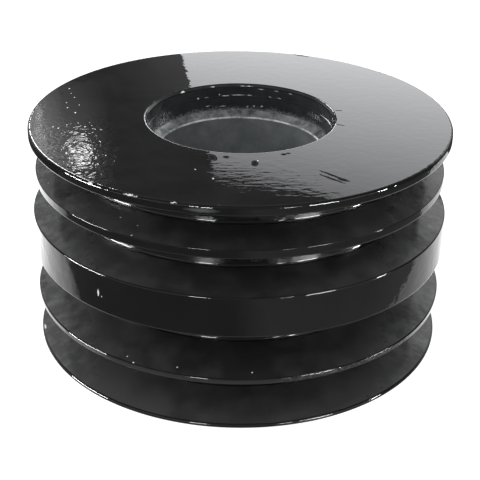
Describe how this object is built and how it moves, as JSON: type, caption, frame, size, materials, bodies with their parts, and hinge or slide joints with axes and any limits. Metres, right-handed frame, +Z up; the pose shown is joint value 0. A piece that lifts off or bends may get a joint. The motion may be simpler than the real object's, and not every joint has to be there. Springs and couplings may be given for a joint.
{
  "type": "belt pulley",
  "caption": "Cast-iron V-belt pulley with deep flanged grooves either side of a wide plain land, a recessed through bore and gloss black paint.",
  "frame": {"origin": "centre of the lower face, on the bore's axis", "axes": "+Z up along the bore's axis, towards the recessed face"},
  "size_m": [0.16, 0.16, 0.0869],
  "materials": {
    "black_enamel_on_iron": "gloss black enamel over turned grey iron"
  },
  "bodies": {
    "root": {"pulley": "black_enamel_on_iron"}
  },
  "joints": []
}
